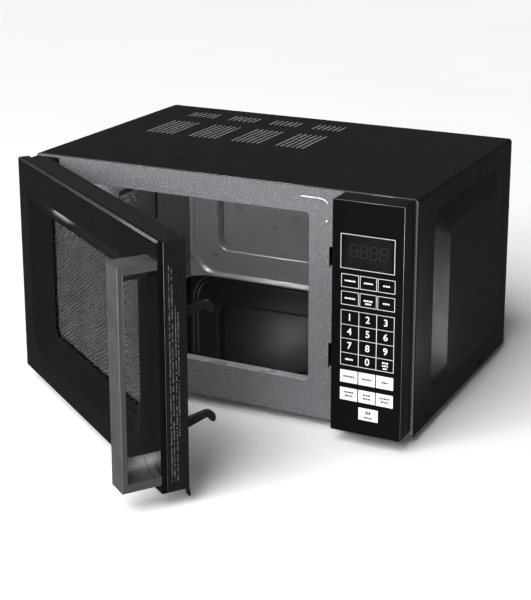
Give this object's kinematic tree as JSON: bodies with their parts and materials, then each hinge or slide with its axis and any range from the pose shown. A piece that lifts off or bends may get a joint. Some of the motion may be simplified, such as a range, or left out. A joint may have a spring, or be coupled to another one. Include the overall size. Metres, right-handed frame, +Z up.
{
  "type": "microwave oven",
  "caption": "Countertop microwave oven with a side-hinged door, bar handle, hooked latch, keypad panel and flat ceramic floor.",
  "frame": {"origin": "on the surface the feet stand on, under the middle of the whole object's box with the door at rest", "axes": "+Z up; +Y from the door towards the back; +X to the control panel's side"},
  "size_m": [0.4689, 0.5707, 0.26],
  "materials": {
    "wrapper_black": "satin black powder coat",
    "frame_grey": "metallic grey enamel with sparkle",
    "cavity_grey": "smooth grey enamel",
    "ceramic_black": "gloss black glass ceramic",
    "door_black": "high gloss black",
    "plastic_black": "fine moulded black",
    "clear_pane": "clear",
    "screen_black": "black enamel perforated sheet",
    "handle_silver": "satin silver",
    "panel_black": "gloss black",
    "overlay_black": "gloss black film with white print",
    "lens_smoked": "smoked clear",
    "zinc_steel": "zinc plated sheet",
    "bright_aluminium": "plain",
    "core_iron": "varnished laminations",
    "copper_wire": "enamelled copper",
    "rubber_black": "matt",
    "white_plastic": "white moulded",
    "board_green": "circuit board",
    "lamp_glass": "clear",
    "blue_plastic": "relay case"
  },
  "bodies": {
    "case": {"air_duct": "white_plastic", "base_plate": "zinc_steel", "board_transformer": "core_iron", "buzzer": "plastic_black", "case_screws": "wrapper_black", "cavity_lamp": "lamp_glass", "cavity_shell": "cavity_grey", "ceramic_floor_plate": "ceramic_black", "control_board": "board_green", "cord_gland": "rubber_black", "display_module": "plastic_black", "display_window": "lens_smoked", "door_switches": "plastic_black", "fan_motor": "core_iron", "fan_shroud": "plastic_black", "filter_board": "board_green", "filter_parts": "copper_wire", "floor_seal": "rubber_black", "front_feet": "rubber_black", "front_frame": "frame_grey", "hinge_lower": "wrapper_black", "hinge_upper": "wrapper_black", "hv_capacitor": "bright_aluminium", "hv_diode": "plastic_black", "hv_transformer_core": "core_iron", "hv_transformer_windings": "copper_wire", "keypad_overlay": "overlay_black", "lamp_holder": "white_plastic", "magnetron_core": "bright_aluminium", "magnetron_filter_box": "zinc_steel", "magnetron_yoke": "zinc_steel", "outer_wrapper": "wrapper_black", "panel_housing": "panel_black", "rear_feet": "rubber_black", "rear_panel": "zinc_steel", "relays": "blue_plastic", "stirrer_motor": "zinc_steel", "switch_bracket": "white_plastic", "thermal_cutouts": "plastic_black", "waveguide": "zinc_steel"},
    "door": {"door_front_shell": "door_black", "door_rear_tray": "plastic_black", "door_glass": "clear_pane", "door_screen": "screen_black", "door_choke_frame": "screen_black", "door_choke_cover": "plastic_black", "door_inner_film": "clear_pane", "handle_grip": "handle_silver", "handle_bases": "handle_silver", "handle_screws": "zinc_steel", "latch_spring": "zinc_steel"},
    "latch": {"latch_slider": "plastic_black"},
    "stirrer": {"stirrer_antenna": "bright_aluminium", "stirrer_shaft": "white_plastic"},
    "fan": {"fan_blade": "white_plastic"},
    "upper_plunger": {"upper_plunger": "white_plastic"},
    "lower_plunger": {"lower_plunger": "white_plastic"},
    "monitor_plunger": {"monitor_plunger": "white_plastic"}
  },
  "joints": [
    {"name": "door_hinge", "type": "hinge", "parent": "case", "child": "door", "pos_m": [-0.219, -0.0295, 0.1345], "axis": [0, 0, -1], "range_deg": [-34.8, 65.2]},
    {"name": "latch_lift", "type": "slide", "parent": "door", "child": "latch", "axis": [0, 0, 1], "range_m": [0, 0.005], "stiffness_N_per_m": 300, "springref_m": -0.004, "deforming": ["latch_spring"]},
    {"name": "fan_spin", "type": "hinge", "parent": "case", "child": "fan", "pos_m": [0.167, 0.232, 0.11], "axis": [0, 1, 0], "continuous": true},
    {"name": "stirrer_spin", "type": "hinge", "parent": "case", "child": "stirrer", "pos_m": [-0.0413, 0.1195, 0.034], "axis": [0, 0, 1], "continuous": true},
    {"name": "upper_switch_press", "type": "slide", "parent": "case", "child": "upper_plunger", "axis": [0, 1, 0], "range_m": [0, 0.002], "stiffness_N_per_m": 250, "springref_m": -0.002},
    {"name": "lower_switch_press", "type": "slide", "parent": "case", "child": "lower_plunger", "axis": [0, 1, 0], "range_m": [0, 0.002], "stiffness_N_per_m": 250, "springref_m": -0.002},
    {"name": "monitor_switch_press", "type": "slide", "parent": "case", "child": "monitor_plunger", "axis": [0, 0, -1], "range_m": [0, 0.002], "stiffness_N_per_m": 250, "springref_m": -0.002}
  ]
}
